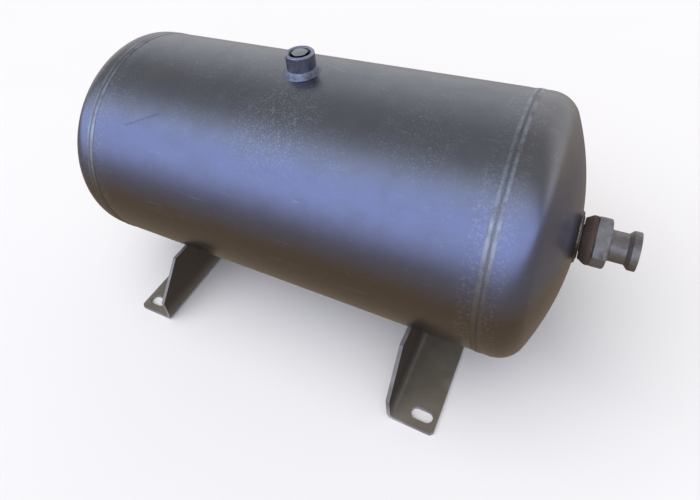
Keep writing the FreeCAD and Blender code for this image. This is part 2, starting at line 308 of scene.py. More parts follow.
def shaping_end(bench, told, shape):
    """Closes a shaping rule: plain faces in the piece's finish."""
    plain = bench.add("GeometryNodeRealizeInstances", {}, {"Geometry": shape})
    painted = bench.add("GeometryNodeSetMaterial", {}, {
        "Geometry": plain, "Material": told["Finish"]})
    last = bench.tree.nodes.new("NodeGroupOutput")
    bench.tree.links.new(painted.socket, last.inputs[0])


def object_of(name, points, edges, faces):
    mesh = bpy.data.meshes.new(name)
    mesh.from_pydata([tuple(p) for p in points], edges, faces)
    piece = bpy.data.objects.new(name, mesh)
    bpy.context.scene.collection.objects.link(piece)
    return piece


def shaped(maker, rule, inputs):
    """Gives a shaping rule its inputs, by their identifiers, on the maker's object."""
    step = maker.modifiers.new("rule", "NODES")
    step.node_group = rule
    for item in rule.interface.items_tree:
        if item.in_out == "INPUT" and item.name in inputs:
            step[item.identifier] = inputs[item.name]
    return maker


def settled(maker, name, sharp_angle=35.0, place=None):
    """The plain mesh of a shaped or modified object, named, smooth and facing out."""
    bpy.context.view_layer.update()
    seen = maker.evaluated_get(bpy.context.evaluated_depsgraph_get())
    mesh = bpy.data.meshes.new_from_object(seen)
    bpy.data.objects.remove(maker)
    if place is not None:
        mesh.transform(place)
    skin = bmesh.new()
    skin.from_mesh(mesh)
    bmesh.ops.recalc_face_normals(skin, faces=skin.faces)
    skin.to_mesh(mesh)
    skin.free()
    mesh.shade_smooth()
    mesh.set_sharp_from_angle(angle=math.radians(sharp_angle))
    mesh.name = name
    piece = bpy.data.objects.new(name, mesh)
    bpy.context.scene.collection.objects.link(piece)
    return piece


def fitted(piece, slot, *nodes):
    """Fixes a finished piece to the tank in place of its plain solids."""
    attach(piece, "root")
    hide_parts(*nodes)


turned_wall = turned_wall_rule()


def turned(name, profile, finish, segments, closed=True, waviness=0.0, seed=0,
           axis_height=tank_axis, sharp_angle=35.0, place=None):
    """A turned or pressed round piece from its profile of (along, from the axis)."""
    maker = object_of(name + "_profile", [(a, 0, r) for a, r in profile], [], [])
    shaped(maker, turned_wall, {
        "Axis Height": axis_height, "Segments": segments, "Closed Profile": int(closed),
        "Waviness": waviness, "Seed": seed, "Finish": finish})
    return settled(maker, name, sharp_angle, place)


def waist(x):
    """How far the shell is drawn in at x by the shrinking girth weld."""
    return waist_depth * np.exp(-((waist_centre - abs(x)) / waist_reach) ** 2)


shell_steel = satin_steel("shell_satin_steel", bare_steel, 0.9, girth_x - 0.011)
middle = np.linspace(-shell_middle, shell_middle, 90)
rise = np.linspace(shell_middle, shell_outside_end, 14)[1:]
outside = np.concatenate([-rise[::-1], middle, rise])
inner_middle = np.linspace(-shell_middle, shell_middle, 60)
inside = np.concatenate([[-shell_inside_end], inner_middle, [shell_inside_end]])
shell_profile = [(x, tank_radius - waist(x)) for x in outside]
shell_profile += [(x, tank_radius - shell_wall) for x in inside[::-1]]
shell = turned("tank_shell", shell_profile, shell_steel, shell_segments,
               waviness=shell_waviness, seed=3)
bm = bmesh.new()
bmesh.ops.create_cone(bm, cap_ends=True, segments=64, radius1=boss_hole_radius,
                      radius2=boss_hole_radius, depth=tank_radius,
                      matrix=Matrix.Translation((0, 0, tank_axis + tank_radius)))
drill = bpy.data.objects.new("drill", bpy.data.meshes.new("drill"))
bm.to_mesh(drill.data)
bm.free()
bpy.context.scene.collection.objects.link(drill)
cut = shell.modifiers.new("hole", "BOOLEAN")
cut.object = drill
cut.solver = "EXACT"
shell = settled(shell, "tank_shell")
bpy.data.objects.remove(drill)
fitted(shell, "shell_steel", "shell")


# --- Dished heads --------------------------------------------------------------------
# Each end is a disc of the same steel, pressed to a shallow dish with a rounded knuckle
# and a short straight rim, and butt welded to the shell. The outlet's end has a hole for
# its boss. Pressing leaves them a warmer grey.

head_rim = 0.009
knuckle_radius = 0.028
crown_radius = 0.266
head_wall = 0.004
head_segments = 192
head_waviness = 0.0003
head_groove = 0.0033
head_root = 0.001
end_boss_hole = 0.020
to_left = Matrix.Scale(-1, 4, (1, 0, 0))
knuckle_x = girth_x + head_rim
knuckle_r = tank_radius - knuckle_radius
crown_x = knuckle_x - math.sqrt((crown_radius - knuckle_radius) ** 2 - knuckle_r ** 2)
knuckle_join = math.atan2(knuckle_r, knuckle_x - crown_x)


def dish_curve(depth, hole):
    """The head's profile at a depth below its outside, from the axis or hole to the rim."""
    crown_reach = crown_radius - depth
    knuckle_reach = knuckle_radius - depth
    start = math.asin(hole / crown_reach)
    crown = [(crown_x + crown_reach * math.cos(t), crown_reach * math.sin(t))
             for t in np.linspace(start, knuckle_join, 40)]
    knuckle = [(knuckle_x + knuckle_reach * math.cos(t), knuckle_r + knuckle_reach * math.sin(t))
               for t in np.linspace(knuckle_join, math.pi / 2, 16)[1:]]
    return crown + knuckle


def head_profile(hole):
    outside = dish_curve(0.0, hole) + [(x, tank_radius) for x in
                                       np.linspace(knuckle_x, girth_x + head_groove, 6)[1:]]
    inside = dish_curve(head_wall, hole) + [(girth_x + head_root, tank_radius - head_wall)]
    return outside + inside[::-1]


head_steel = satin_steel("head_satin_steel", (0.28, 0.28, 0.30, 1), 0.8, girth_x + 0.008)
right_head = turned("right_dished_head", head_profile(end_boss_hole), head_steel,
                    head_segments, waviness=head_waviness, seed=5)
fitted(right_head, "head_steel", "right_head")
left_head = turned("left_dished_head", head_profile(0.0), head_steel, head_segments,
                   closed=False, waviness=head_waviness, seed=8, place=to_left)
fitted(left_head, "head_steel", "left_head")


# --- Girth and lengthwise welds ------------------------------------------------------
# The shell is closed along its back by one straight run of weld, and each head is joined
# by a run round the tank. They are low machine-laid beads with close ripples and a
# shallow crease along the middle. The girth beads carry a painted shade line in the crease,
# a patchy painted highlight with some wear on their upper lips, and a brown painted floor
# reflection below.

girth_bead_width = 0.010
girth_bead_height = 0.0006
girth_crease = 0.00035
bead_root = 0.003
ripple_pitch = 0.0023
ripple_depth = 0.00007
bead_sink = 0.0001
seam_angle = 112.0
seam_points = 40


def weld_run_rule():
    """Lays a rippled bead along a path whose points carry the way out of the joint."""
    tree = bpy.data.node_groups.new("weld_run", "GeometryNodeTree")
    told = shaping_inputs(tree, (
        ("Width", "NodeSocketFloat"), ("Height", "NodeSocketFloat"),
        ("Root", "NodeSocketFloat"), ("Crease", "NodeSocketFloat"),
        ("Section Points", "NodeSocketInt"), ("Ripple Pitch", "NodeSocketFloat"),
        ("Ripple Depth", "NodeSocketFloat"), ("Unevenness", "NodeSocketFloat"),
        ("Tapered Ends", "NodeSocketFloat"), ("Seed", "NodeSocketInt"),
        ("Finish", "NodeSocketMaterial")))
    bench = told["bench"]
    path = bench.add("GeometryNodeMeshToCurve", {}, {"Mesh": told["Geometry"]})
    length = bench.add("GeometryNodeCurveLength", {}, {"Curve": path})
    ripples = bench.sum("ROUND", length / told["Ripple Pitch"])
    grid = bench.add("GeometryNodeMeshGrid", {}, {
        "Size X": 1.0, "Size Y": 1.0, "Vertices X": ripples * 5 + 1,
        "Vertices Y": told["Section Points"] + 1}, "Mesh")
    run, round_section, _ = bench.parts(bench.add("GeometryNodeInputPosition"))
    run = run + 0.5
    out_field = bench.add("GeometryNodeInputNamedAttribute", {"data_type": "FLOAT_VECTOR"},
                          {"Name": "out"}, "Attribute")
    spot = bench.add("GeometryNodeSampleCurve", {
        "data_type": "FLOAT_VECTOR", "mode": "FACTOR", "use_all_curves": True}, {
        "Curves": path, "Value": out_field, "Factor": run}, "Position")
    sampled = spot.socket.node.outputs
    outward = bench.vector("NORMALIZE", Wire(bench, bench.pick(sampled, "Value")))
    tangent = Wire(bench, bench.pick(sampled, "Tangent"))
    side = bench.vector("NORMALIZE", bench.vector("CROSS_PRODUCT", tangent, outward))
    turn = (round_section + 0.5) * math.tau
    level = bench.sum("COSINE", turn)
    across = level * (0.35 + 0.65 * abs(level))
    up = bench.sum("SINE", turn)
    crown = bench.sum("MAXIMUM", up, 0.0)
    under = bench.sum("MINIMUM", up, 0.0)
    seed = bench.joined(told["Seed"] * 1.7, told["Seed"] * 2.9, 0.0)
    wander = bench.vector("ADD", bench.vector("MULTIPLY", spot, (90.0, 90.0, 90.0)), seed)
    uneven = (bench.cloud(wander, 1.0, 2.0) - 0.5) * told["Unevenness"]
    close = bench.vector("MULTIPLY", wander, (3.1, 3.1, 3.1))
    rough = (bench.cloud(close, 1.0, 2.0) - 0.5) * told["Unevenness"]
    step = bench.sum("FRACT", run * ripples + 0.45 * across * across + uneven * 1.5)
    ripple = (1.0 - step) * bench.fade(step, 0.0, 0.25)
    lift = crown * (1.0 - across * across) * told["Height"] * (1.0 + uneven)
    dip = bench.fade(abs(across + uneven * 0.3) * told["Width"], 0.0034, 0.0) * (1.0 + uneven)
    lift = lift - bench.sum("GREATER_THAN", up, 0.0) * dip * told["Crease"]
    lift = lift + crown * told["Ripple Depth"] * (ripple + rough)
    lift = lift + under * told["Root"]
    half = told["Width"] * 0.5 * (1.0 + uneven * 0.3 + rough * 0.15)
    near_end = bench.sum("MINIMUM", run, 1.0 - run) * length / (told["Width"] * 0.5)
    inset = 1.0 - bench.sum("MINIMUM", near_end, 1.0)
    taper = bench.sum("SQRT", bench.sum("MAXIMUM", 1.0 - inset * inset * told["Tapered Ends"], 0.0))
    moved = bench.vector("ADD", spot, bench.vector(
        "MULTIPLY", side, bench.joined(*[across * half * taper] * 3)))
    moved = bench.vector("ADD", moved, bench.vector(
        "MULTIPLY", outward, bench.joined(*[lift * taper] * 3)))
    placed = bench.add("GeometryNodeSetPosition", {}, {"Geometry": grid, "Position": moved})
    closed = bench.add("GeometryNodeMergeByDistance", {}, {
        "Geometry": placed, "Distance": 0.000002})
    shaping_end(bench, told, closed)
    return tree


weld_run = weld_run_rule()


def weld(name, path, outwards, closed, finish, **sizes):
    """One run of weld along a path, with the way out of the joint at each point."""
    count = len(path)
    edges = [(i, (i + 1) % count) for i in range(count if closed else count - 1)]
    maker = object_of(name + "_path", path, edges, [])
    out = maker.data.attributes.new("out", "FLOAT_VECTOR", "POINT")
    out.data.foreach_set("vector", np.array(outwards, np.float32).ravel())
    shaped(maker, weld_run, {"Tapered Ends": 0.0 if closed else 1.0, "Finish": finish,
                             "Section Points": 14, **sizes})
    return settled(maker, name, 60.0)


def ring(x, radius, out_x, out_r, count=256):
    """Points and ways out of a joint that runs round the tank's axis."""
    turns = np.linspace(0, math.tau, count, endpoint=False)
    path = [(x, radius * math.sin(t), tank_axis + radius * math.cos(t)) for t in turns]
    ways = [(out_x, out_r * math.sin(t), out_r * math.cos(t)) for t in turns]
    return path, ways


def weld_metal(name, fresh, burnt, scale, line_at=None, rubbed=None):
    """Weld metal: pale crests, smokier patches and dusty grain; along a girth line also painted
    shade in its crease, a patchy painted highlight with some wear on its upper lips and a brown
    painted floor reflection below; a painted highlight near a given point.
    """
    finish, bench, place = finish_bench(name)
    heat = bench.cloud(place, scale, 3.0, 0.6)
    tint = bench.mixed(bench.fade(heat, 0.36, 0.62), burnt, fresh)
    dust = bench.cloud(place, 700.0, 3.0, 0.65)
    colour = bench.mixed(bench.fade(dust, 0.45, 0.72) * 0.4, tint, (0.50, 0.53, 0.58, 1))
    if line_at is not None:
        x, _, z = bench.parts(place)
        # Painted reflection: the bead's lower part turns brown, as a brown floor would show in it.
        low = bench.fade(z, tank_axis + 0.05, tank_axis - 0.01)
        colour = bench.mixed(low * 0.85, colour, floor_reflection_brown)
        off = abs(abs(x) - line_at)
        # Painted highlight with some wear: the bead's two lips are lightened in patches, and only
        # on its upper part.
        lips = bench.fade(off, 0.0008, 0.0022) * bench.fade(off, 0.0049, 0.0036)
        highlight_and_wear = bench.fade(bench.cloud(place, 33.0, 4.0, 0.7), 0.38, 0.62)
        highlight_and_wear = highlight_and_wear * (0.15 + 0.85 * bench.fade(z, tank_axis + 0.02, tank_axis + 0.09))
        colour = bench.mixed(lips * highlight_and_wear * 0.75, colour, (0.52, 0.55, 0.60, 1))
        # Painted shade with some scale: a dark patchy line along the crease in the middle of the
        # bead.
        scale_line = bench.fade(off, 0.0012, 0.0002) * bench.fade(heat, 0.34, 0.60)
        colour = bench.mixed(scale_line * 0.4, colour, (0.06, 0.06, 0.07, 1))
    if rubbed is not None:
        # Painted highlight: a pale gleam on the bead near the given point.
        off = bench.vector("DISTANCE", place, rubbed, out="Value")
        painted_gleam = bench.fade(off, 0.013, 0.007) * bench.fade(dust, 0.30, 0.55)
        colour = bench.mixed(painted_gleam, colour, (0.60, 0.60, 0.60, 1))
    coat(bench, colour, 0.28 + 0.2 * dust, 1.0, dust, 0.00004)
    return finish


girth_metal = weld_metal("girth_weld_metal", (0.29, 0.305, 0.35, 1), (0.21, 0.215, 0.25, 1), 60.0,
                         girth_x)
seam_metal = weld_metal("seam_weld_metal", (0.33, 0.345, 0.39, 1), (0.24, 0.245, 0.28, 1), 60.0)
girth_sizes = {"Width": girth_bead_width, "Height": girth_bead_height, "Root": bead_root,
               "Crease": girth_crease, "Section Points": 28,
               "Ripple Pitch": ripple_pitch, "Ripple Depth": ripple_depth, "Unevenness": 0.35}
for side, name, seed in ((-1, "left_girth_weld", 11), (1, "right_girth_weld", 12)):
    path, ways = ring(side * girth_x, tank_radius - bead_sink, 0, 1)
    bead = weld(name + "_bead", path, ways, True, girth_metal, Seed=seed, **girth_sizes)
    fitted(bead, "weld_bead", name)

seam_turn = math.radians(seam_angle)
seam_out = (0, math.sin(seam_turn), math.cos(seam_turn))
seam_reach = girth_x - girth_bead_width * 0.3
seam_path = [(x, (tank_radius - bead_sink) * seam_out[1],
              tank_axis + (tank_radius - bead_sink) * seam_out[2])
             for x in np.linspace(-seam_reach, seam_reach, seam_points)]
seam = weld("lengthwise_seam_bead", seam_path, [seam_out] * seam_points, False, seam_metal,
            Seed=15, **girth_sizes)
fitted(seam, "weld_bead", "lengthwise_seam_weld")


# --- Top boss and its plug -----------------------------------------------------------
# A short threaded socket of turned steel, set through the top of the shell and welded
# round. Its rim is chamfered, with a painted highlight on top, and a hexagon plug is screwed
# in, flush with it, painted dark below its top as shade.

boss_low, boss_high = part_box("top_boss")
plug_low, plug_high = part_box("top_plug")
boss_radius = boss_high.x
top_bore_radius = 0.0105
rim = boss_high.z
rim_chamfer = 0.0010
thread_pitch = 0.0018
thread_depth = 0.0008
top_weld_leg = 0.005
to_upright = Matrix.Rotation(-math.pi / 2, 4, "Y")


def softened(corners, radius, steps=3):
    """A profile with each corner rounded a little, as turning and handling leave it."""
    made = []
    count = len(corners)
    for i, corner in enumerate(corners):
        here = Vector(corner)
        back = Vector(corners[i - 1]) - here
        ahead = Vector(corners[(i + 1) % count]) - here
        reach = min(radius, back.length * 0.45, ahead.length * 0.45)
        first = here + back.normalized() * reach
        last = here + ahead.normalized() * reach
        for t in np.linspace(0, 1, steps + 1):
            made.append(tuple(first * (1 - t) ** 2 + here * 2 * t * (1 - t) + last * t ** 2))
    return made


def turned_steel(name, colour_low, colour_high, roughness, turn_height, shade_below, light_above):
    """Machined steel: tool rings, stain and nicks, its colour scaled by one factor below a height
    and another above it, as painted light and shade.
    """
    finish, bench, place = finish_bench(name)
    stain = bench.cloud(place, 70.0, 4.0, 0.6)
    colour = bench.mixed(bench.fade(stain, 0.35, 0.70), colour_low, colour_high)
    nicks = bench.fade(bench.cloud(place, 480.0, 2.0), 0.66, 0.72)
    colour = bench.mixed(nicks * 0.6, colour, (0.55, 0.55, 0.56, 1))
    x, y, z = bench.parts(place)
    painted_light_and_shade = bench.mixed(bench.fade(z, turn_height - 0.0003, turn_height), shade_below, light_above)
    colour = bench.vector("MULTIPLY", colour, painted_light_and_shade)
    rings = bench.cloud(bench.joined(x * 20.0, y * 20.0, z * 900.0), 1.0, 1.0)
    coat(bench, colour, roughness + 0.15 * stain, 0.9, rings + nicks, 0.00003)
    return finish


# Painted highlight: the rim's top and chamfer are made nearly twice as bright as the body.
boss_steel = turned_steel("boss_turned_steel", (0.14, 0.145, 0.19, 1), (0.24, 0.25, 0.31, 1), 0.38,
                          rim - rim_chamfer, (0.9, 0.9, 0.9, 1), (1.9, 1.95, 1.9, 1))
boss_corners = [
    (boss_low.z, top_bore_radius), (boss_low.z, boss_radius), (rim - rim_chamfer, boss_radius),
    (rim, boss_radius - rim_chamfer), (rim, top_bore_radius + rim_chamfer),
    (rim - rim_chamfer, top_bore_radius)]
boss_profile = softened(boss_corners, 0.0003)
turns_down = []
for k in range(4):
    top = rim - rim_chamfer - 0.0004 - k * thread_pitch
    turns_down += [(top, top_bore_radius), (top - thread_pitch / 2, top_bore_radius + thread_depth)]
boss_profile += turns_down
top_boss = turned("top_boss_socket", boss_profile, boss_steel, 96, axis_height=0.0,
                  sharp_angle=40.0, place=to_upright)
fitted(top_boss, "machined_steel", "top_boss")

hex_flats = 0.015
hex_land = 0.007
hex_bevel = math.radians(30)


def ring_solid(name, rings, finish, cap_first=False, cap_last=False, looped=False,
               bevel=0.0, sharp_angle=35.0):
    """A solid from rings of points, each ring joined to the next."""
    count = len(rings[0])
    points = [p for r in rings for p in r]
    faces = []
    for k in range(len(rings) - (0 if looped else 1)):
        low = k * count
        high = (k + 1) % len(rings) * count
        for i in range(count):
            j = (i + 1) % count
            faces.append((low + i, low + j, high + j, high + i))
    if cap_first:
        faces.append(tuple(range(count)))
    if cap_last:
        faces.append(tuple(range((len(rings) - 1) * count, len(rings) * count)))
    maker = object_of(name + "_rings", points, [], faces)
    maker.data.materials.append(finish)
    if bevel:
        edge = maker.modifiers.new("edge", "BEVEL")
        edge.width = bevel
        edge.segments = 2
        edge.limit_method = "ANGLE"
        edge.angle_limit = math.radians(25)
    return settled(maker, name, sharp_angle)


def hexagon(t):
    """Distance from the middle to the side of the plug's hexagon at a turn t."""
    return hex_flats / 2 / math.cos((t + math.pi / 6) % (math.pi / 3) - math.pi / 6)


plug_body_top = rim - 0.006
hex_turns = np.linspace(0, math.tau, 72, endpoint=False) + math.pi / 6


def plug_ring(reach, height):
    return [(reach(t) * math.cos(t), reach(t) * math.sin(t), height(reach(t)))
            for t in hex_turns]


body_radius = top_bore_radius - 0.0001
plug_rings = [
    plug_ring(lambda t: body_radius - 0.0006, lambda r: plug_low.z),
    plug_ring(lambda t: body_radius, lambda r: plug_low.z + 0.0006),
    plug_ring(lambda t: body_radius, lambda r: plug_body_top - 0.0008),
    plug_ring(lambda t: body_radius - 0.0008, lambda r: plug_body_top),
    plug_ring(lambda t: hexagon(t) + 0.0004, lambda r: plug_body_top),
    plug_ring(hexagon, lambda r: plug_body_top + 0.0004),
    plug_ring(hexagon, lambda r: plug_high.z - 0.0003 - (r - hex_land) * math.tan(hex_bevel)),
    plug_ring(lambda t: hexagon(t) - 0.0003,
              lambda r: plug_high.z - 0.00005 - (r - hex_land + 0.0003) * math.tan(hex_bevel)),
    plug_ring(lambda t: hex_land, lambda r: plug_high.z - 0.00005),
    plug_ring(lambda t: hex_land - 0.0006, lambda r: plug_high.z)]
# Painted shade: below its top land the plug is darkened to a few percent, as the socket's shade.
plug_steel = turned_steel("plug_steel", (0.36, 0.37, 0.39, 1), (0.52, 0.54, 0.57, 1), 0.40,
                          plug_high.z - 0.0005, (0.06, 0.055, 0.05, 1), (0.9, 0.95, 0.95, 1))
plug = ring_solid("hexagon_plug", plug_rings, plug_steel, True, True, sharp_angle=30.0)
fitted(plug, "machined_steel", "top_plug")

boss_weld_metal = weld_metal("boss_weld_metal", (0.27, 0.30, 0.38, 1), (0.16, 0.175, 0.22, 1),
                             110.0)
boss_path, boss_ways = [], []
for t in np.linspace(0, math.tau, 128, endpoint=False):
    wall_out = Vector((math.cos(t), math.sin(t), 0))
    y = boss_radius * math.sin(t)
    shell_out = Vector((0, y, math.sqrt(tank_radius ** 2 - y ** 2))) / tank_radius
    way = (wall_out + shell_out).normalized()
    root = Vector((boss_radius * math.cos(t), y, tank_axis + tank_radius * shell_out.z))
    boss_path.append(root + way * top_weld_leg * 0.69)
    boss_ways.append(way)
boss_weld = weld("top_boss_weld_bead", boss_path, boss_ways, True, boss_weld_metal, Seed=21,
                 Width=top_weld_leg * 1.48, Height=top_weld_leg * -0.05,
                 Root=top_weld_leg * 0.75, Unevenness=0.9,
                 **{"Ripple Pitch": 0.0024, "Ripple Depth": 0.0004})
fitted(boss_weld, "weld_bead", "top_boss_weld")


# --- Outlet boss, adapter and nozzle -------------------------------------------------
# A thick threaded boss stands through the middle of the right head, welded round. The
# screwed adapter has a tapered shoulder and a square wrench block, and the nozzle, with
# its collar for a hose clamp, is seated in it. All are turned steel, browned by heat in
# patches, and browner on their undersides and behind the block as painted shade.

end_low, end_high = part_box("end_boss")
adapter_low, adapter_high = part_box("outlet_adapter")
_, nozzle_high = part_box("outlet_nozzle")
end_boss_radius = end_high.y
end_face = end_high.x
end_bore_radius = 0.01225
end_chamfer = 0.0008
outlet_radius = 0.0095


def heat_stained(name, clean, straw, brown, roughness, metal=0.9, shaded_behind_x=0.0):
    """Turned steel stained by welding heat in patches, and browner on its underside and behind a
    given x, towards the weld, as painted shade.
    """
    finish, bench, place = finish_bench(name)
    x, _, z = bench.parts(place)
    stain = bench.cloud(place, 85.0, 4.0, 0.62, 0.4)
    # Painted shade: browner below the axis and behind the given x, where the parts sit in shade.
    painted_shade_below = bench.fade(z, tank_axis + 0.010, tank_axis - 0.016)
    painted_shade_below = painted_shade_below + 2.0 * bench.fade(x, shaded_behind_x + 0.0004, shaded_behind_x - 0.0004)
    share = bench.fade(stain + painted_shade_below * 0.35, 0.38, 0.78)
    colour = bench.mixed(share, clean, straw)
    colour = bench.mixed(bench.fade(stain + painted_shade_below * 0.2, 0.62, 0.85), colour, brown)
    nicks = bench.fade(bench.cloud(place, 420.0, 3.0), 0.64, 0.74)
    colour = bench.mixed(nicks * 0.4, colour, (0.50, 0.48, 0.46, 1))
    grain = bench.cloud(place, 800.0, 2.0)
    coat(bench, colour, roughness + 0.2 * stain, metal, grain + nicks, 0.00004)
    return finish


boss_brown = heat_stained("end_boss_steel", (0.15, 0.13, 0.12, 1), (0.12, 0.09, 0.075, 1),
                          (0.075, 0.052, 0.042, 1), 0.34, 0.5)
end_corners = [
    (end_low.x, end_bore_radius), (end_low.x, end_boss_radius),
    (end_face - end_chamfer, end_boss_radius), (end_face, end_boss_radius - end_chamfer),
    (end_face, end_bore_radius)]
end_boss = turned("outlet_boss", softened(end_corners, 0.0004), boss_brown, 128)
fitted(end_boss, "machined_steel", "end_boss")

end_weld_leg = 0.0045
dish_at_toe = crown_x + math.sqrt(crown_radius ** 2 - (end_boss_radius + end_weld_leg) ** 2)
weld_top_x = end_face - end_chamfer
chord = Vector((weld_top_x - dish_at_toe, -end_weld_leg))
chord_out = Vector((end_weld_leg, weld_top_x - dish_at_toe)).normalized()
path, ways = ring((weld_top_x + dish_at_toe) / 2, end_boss_radius + end_weld_leg / 2,
                  chord_out.x, chord_out.y, 128)
# The rubbed point is where a painted highlight lightens the bead's front.
end_weld_metal = weld_metal("end_boss_weld_metal", (0.16, 0.14, 0.13, 1), (0.07, 0.055, 0.047, 1),
                            90.0, rubbed=(0.266, -0.013, 0.175))
end_weld = weld("end_boss_weld_bead", path, ways, True, end_weld_metal, Seed=23,
                Width=chord.length * 1.02, Height=0.0006, Root=0.0012, Unevenness=0.6,
                **{"Ripple Pitch": 0.0021, "Ripple Depth": 0.0003})
fitted(end_weld, "weld_bead", "end_boss_weld")

shoulder_back = end_face + 0.0008
shoulder_back_radius = 0.019
shoulder_cone = 0.006
shoulder_radius = 0.0227
block_back = shoulder_back + 0.0105
block_front = adapter_high.x
block_half = 0.01975
block_corner = 0.0232
block_turn = math.radians(25)
block_chamfer = 0.0014
block_chamfer_depth = 0.002
seat_radius = 0.0125
seat_depth = 0.009
flat_edge = math.acos(block_half / block_corner)
quarter = np.concatenate([
    np.linspace(-flat_edge, flat_edge, 15),
    np.linspace(flat_edge, math.pi / 2 - flat_edge, 7)[1:-1]])
block_turns = np.concatenate([quarter + k * math.pi / 2 for k in range(4)])


def adapter_ring(x, radius, square=False):
    """A ring of the adapter: round, or no wider than the wrench block's flats."""
    ring_points = []
    for t in block_turns:
        off_flat = (t + math.pi / 4) % (math.pi / 2) - math.pi / 4
        reach = min(radius, block_half / math.cos(off_flat)) if square else radius
        turn = t + block_turn
        ring_points.append((x, -reach * math.sin(turn), tank_axis + reach * math.cos(turn)))
    return ring_points


adapter_rings = [adapter_ring(x, r) for x, r in (
    (adapter_low.x, outlet_radius), (adapter_low.x, end_bore_radius - 0.0004),
    (adapter_low.x + 0.0004, end_bore_radius - 0.0001), (shoulder_back, end_bore_radius - 0.0001),
    (shoulder_back, shoulder_back_radius - 0.0004),
    (shoulder_back + 0.0003, shoulder_back_radius),
    (shoulder_back + shoulder_cone, shoulder_radius - 0.0001),
    (shoulder_back + shoulder_cone + 0.0006, shoulder_radius),
    (block_back - 0.0008, shoulder_radius), (block_back - 0.0002, shoulder_radius - 0.0008))]
adapter_rings += [adapter_ring(x, r, True) for x, r in (
    (block_back, block_corner - 0.0006), (block_back + 0.0004, block_corner),
    (block_front - block_chamfer, block_corner),
    (block_front - block_chamfer * 0.66, block_corner - block_chamfer_depth * 0.34),
    (block_front - block_chamfer * 0.33, block_corner - block_chamfer_depth * 0.67),
    (block_front - 0.00012, block_corner - block_chamfer_depth),
    (block_front, block_corner - block_chamfer_depth - 0.0003))]
adapter_rings += [adapter_ring(x, r) for x, r in (
    (block_front, seat_radius), (block_front - seat_depth, seat_radius),
    (block_front - seat_depth, outlet_radius))]
# Painted shade browns the shoulder and spigot behind the block.
adapter_steel = heat_stained("adapter_steel", (0.235, 0.23, 0.235, 1), (0.155, 0.135, 0.125, 1),
                             (0.085, 0.058, 0.047, 1), 0.50, 0.35, block_back)
adapter = ring_solid("outlet_adapter_body", adapter_rings, adapter_steel, looped=True,
                     sharp_angle=25.0)
fitted(adapter, "machined_steel", "outlet_adapter")

neck_radius = 0.014
root_round = 0.0024
collar_back = nozzle_high.x - 0.0095
collar_rise = 0.0035
collar_radius = nozzle_high.y
outlet_face = nozzle_high.x
root_curve = [(block_front + root_round * (1 - math.cos(t)),
               neck_radius + root_round * (1 - math.sin(t)))
              for t in np.linspace(0, math.pi / 2, 8)]
nozzle_corners = [(collar_back, neck_radius), (collar_back + collar_rise, collar_radius),
                  (outlet_face - 0.0004, collar_radius), (outlet_face, collar_radius - 0.0004),
                  (outlet_face, outlet_radius), (block_front - seat_depth, outlet_radius),
                  (block_front - seat_depth, seat_radius - 0.0001),
                  (block_front, seat_radius - 0.0001)]
nozzle_profile = root_curve + softened(nozzle_corners, 0.00025)
nozzle_steel = heat_stained("nozzle_steel", (0.265, 0.25, 0.24, 1), (0.18, 0.155, 0.135, 1),
                            (0.13, 0.10, 0.08, 1), 0.28, 0.8)
nozzle = turned("outlet_nozzle_tube", nozzle_profile, nozzle_steel, 96, sharp_angle=30.0)
fitted(nozzle, "machined_steel", "outlet_nozzle")


# --- Feet ----------------------------------------------------------------------------
# Each foot is one piece of 4 mm plate, cut to shape and bent to an angle: a web with a
# saddle cut to the tank, and a flange with a bolt slot at each end. The plate is bare
# and brownish from the mill, and its cut edges are brighter. Painted shade darkens the
# web towards the tank.

foot_low, foot_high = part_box("right_foot")
plate = 0.004
bend_outside = 0.008
web_end_height = 0.031
web_top_half = 0.114
flange_corner = 0.003
slot_centre_x = foot_high.x - 0.0155
slot_centre_y = foot_high.y - 0.0145
slot_half_straight = 0.005
slot_radius = 0.006
foot_edge = 0.0003


def bare_plate(name, low, high, roughness, shade_share):
    """Mill-finished plate: brown-olive and cloudy, with painted shade darkening it towards the
    tank.
    """
    finish, bench, place = finish_bench(name)
    _, _, z = bench.parts(place)
    stain = bench.cloud(place, 26.0, 5.0, 0.62, 0.3)
    colour = bench.mixed(bench.fade(stain, 0.32, 0.70), low, high)
    rubbed = bench.cloud(bench.stretched(place, (90.0, 35.0, 90.0)), 1.0, 4.0, 0.65)
    colour = bench.mixed(bench.fade(rubbed, 0.50, 0.80) * 0.12, colour, (0.36, 0.33, 0.29, 1))
    specks = bench.fade(bench.cloud(place, 380.0, 3.0, 0.7), 0.60, 0.72)
    colour = bench.mixed(specks * 0.25, colour, (0.30, 0.27, 0.24, 1))
    # Painted shade: the plate darkens to near black with height, towards the tank above it.
    painted_shade_to_tank = bench.fade(z, 0.0, 0.027)
    colour = bench.mixed(painted_shade_to_tank * shade_share, colour, (0.042, 0.029, 0.020, 1))
    coat(bench, colour, roughness + 0.15 * stain, 0.15, stain + specks * 0.4, 0.00004)
    return finish


plate_skin = bare_plate("foot_plate_skin", (0.155, 0.134, 0.100, 1), (0.205, 0.181, 0.140, 1), 0.56,
                        0.90)
cut_edge = bare_plate("foot_cut_edge", (0.20, 0.19, 0.195, 1), (0.38, 0.36, 0.37, 1), 0.42, 0.35)


